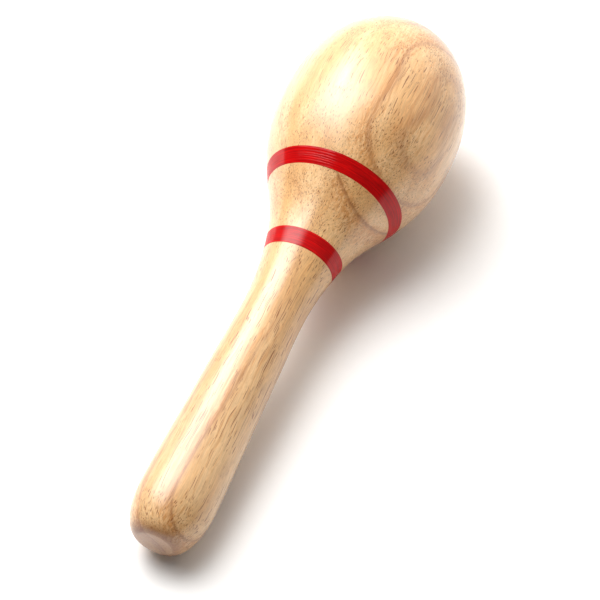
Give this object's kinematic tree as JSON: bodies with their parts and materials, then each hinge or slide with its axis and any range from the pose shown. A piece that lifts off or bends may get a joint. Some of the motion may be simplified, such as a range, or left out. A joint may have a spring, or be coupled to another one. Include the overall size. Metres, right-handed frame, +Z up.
{
  "type": "baby rattle",
  "caption": "Turned wooden rattle like a small maraca: slim handle, hollow egg-shaped head with loose beads and a crown plug, two red bands.",
  "frame": {"origin": "on the table, under the middle of the rattle's box, as it lies on its side", "axes": "+X from the butt of the handle to the crown of the head, +Z up; the turning axis leans 7.1 degrees up towards the crown"},
  "size_m": [0.1994, 0.0586, 0.0594],
  "materials": {
    "wood": "pale rubberwood under satin-gloss clear lacquer",
    "plug_wood": "pale rubberwood under satin-gloss clear lacquer",
    "red_paint": "gloss red paint on wood",
    "bead_plastic": "smooth glossy plastic"
  },
  "bodies": {
    "rattle": {"wooden_body": "wood", "crown_plug": "plug_wood", "upper_red_band": "red_paint", "lower_red_band": "red_paint"},
    "bead_01": {"bead_01": "bead_plastic"},
    "bead_02": {"bead_02": "bead_plastic"},
    "bead_03": {"bead_03": "bead_plastic"},
    "bead_04": {"bead_04": "bead_plastic"},
    "bead_05": {"bead_05": "bead_plastic"},
    "bead_06": {"bead_06": "bead_plastic"},
    "bead_07": {"bead_07": "bead_plastic"},
    "bead_08": {"bead_08": "bead_plastic"},
    "bead_09": {"bead_09": "bead_plastic"},
    "bead_10": {"bead_10": "bead_plastic"},
    "bead_11": {"bead_11": "bead_plastic"},
    "bead_12": {"bead_12": "bead_plastic"},
    "bead_13": {"bead_13": "bead_plastic"},
    "bead_14": {"bead_14": "bead_plastic"},
    "bead_15": {"bead_15": "bead_plastic"},
    "bead_16": {"bead_16": "bead_plastic"},
    "bead_17": {"bead_17": "bead_plastic"},
    "bead_18": {"bead_18": "bead_plastic"},
    "bead_19": {"bead_19": "bead_plastic"},
    "bead_20": {"bead_20": "bead_plastic"},
    "bead_21": {"bead_21": "bead_plastic"},
    "bead_22": {"bead_22": "bead_plastic"},
    "bead_23": {"bead_23": "bead_plastic"},
    "bead_24": {"bead_24": "bead_plastic"}
  },
  "joints": [
    {"name": "bead_01_slide", "type": "slide", "parent": "rattle", "child": "bead_01", "axis": [-0.1233, 0, 0.9924], "range_m": [0, 0.01284]},
    {"name": "bead_02_slide", "type": "slide", "parent": "rattle", "child": "bead_02", "axis": [-0.1233, 0, 0.9924], "range_m": [0, 0.01284]},
    {"name": "bead_03_slide", "type": "slide", "parent": "rattle", "child": "bead_03", "axis": [-0.1233, 0, 0.9924], "range_m": [0, 0.01284]},
    {"name": "bead_04_slide", "type": "slide", "parent": "rattle", "child": "bead_04", "axis": [-0.1233, 0, 0.9924], "range_m": [0, 0.01284]},
    {"name": "bead_05_slide", "type": "slide", "parent": "rattle", "child": "bead_05", "axis": [-0.1233, 0, 0.9924], "range_m": [0, 0.01284]},
    {"name": "bead_06_slide", "type": "slide", "parent": "rattle", "child": "bead_06", "axis": [-0.1233, 0, 0.9924], "range_m": [0, 0.01284]},
    {"name": "bead_07_slide", "type": "slide", "parent": "rattle", "child": "bead_07", "axis": [-0.1233, 0, 0.9924], "range_m": [0, 0.02266]},
    {"name": "bead_08_slide", "type": "slide", "parent": "rattle", "child": "bead_08", "axis": [-0.1233, 0, 0.9924], "range_m": [0, 0.02266]},
    {"name": "bead_09_slide", "type": "slide", "parent": "rattle", "child": "bead_09", "axis": [-0.1233, 0, 0.9924], "range_m": [0, 0.02266]},
    {"name": "bead_10_slide", "type": "slide", "parent": "rattle", "child": "bead_10", "axis": [-0.1233, 0, 0.9924], "range_m": [0, 0.02266]},
    {"name": "bead_11_slide", "type": "slide", "parent": "rattle", "child": "bead_11", "axis": [-0.1233, 0, 0.9924], "range_m": [0, 0.02266]},
    {"name": "bead_12_slide", "type": "slide", "parent": "rattle", "child": "bead_12", "axis": [-0.1233, 0, 0.9924], "range_m": [0, 0.02266]},
    {"name": "bead_13_slide", "type": "slide", "parent": "rattle", "child": "bead_13", "axis": [-0.1233, 0, 0.9924], "range_m": [0, 0.02266]},
    {"name": "bead_14_slide", "type": "slide", "parent": "rattle", "child": "bead_14", "axis": [-0.1233, 0, 0.9924], "range_m": [0, 0.02266]},
    {"name": "bead_15_slide", "type": "slide", "parent": "rattle", "child": "bead_15", "axis": [-0.1233, 0, 0.9924], "range_m": [0, 0.02266]},
    {"name": "bead_16_slide", "type": "slide", "parent": "rattle", "child": "bead_16", "axis": [-0.1233, 0, 0.9924], "range_m": [0, 0.02266]},
    {"name": "bead_17_slide", "type": "slide", "parent": "rattle", "child": "bead_17", "axis": [-0.1233, 0, 0.9924], "range_m": [0, 0.02266]},
    {"name": "bead_18_slide", "type": "slide", "parent": "rattle", "child": "bead_18", "axis": [-0.1233, 0, 0.9924], "range_m": [0, 0.02266]},
    {"name": "bead_19_slide", "type": "slide", "parent": "rattle", "child": "bead_19", "axis": [-0.1233, 0, 0.9924], "range_m": [0, 0.01284]},
    {"name": "bead_20_slide", "type": "slide", "parent": "rattle", "child": "bead_20", "axis": [-0.1233, 0, 0.9924], "range_m": [0, 0.01284]},
    {"name": "bead_21_slide", "type": "slide", "parent": "rattle", "child": "bead_21", "axis": [-0.1233, 0, 0.9924], "range_m": [0, 0.01284]},
    {"name": "bead_22_slide", "type": "slide", "parent": "rattle", "child": "bead_22", "axis": [-0.1233, 0, 0.9924], "range_m": [0, 0.01284]},
    {"name": "bead_23_slide", "type": "slide", "parent": "rattle", "child": "bead_23", "axis": [-0.1233, 0, 0.9924], "range_m": [0, 0.01284]},
    {"name": "bead_24_slide", "type": "slide", "parent": "rattle", "child": "bead_24", "axis": [-0.1233, 0, 0.9924], "range_m": [0, 0.01284]}
  ]
}
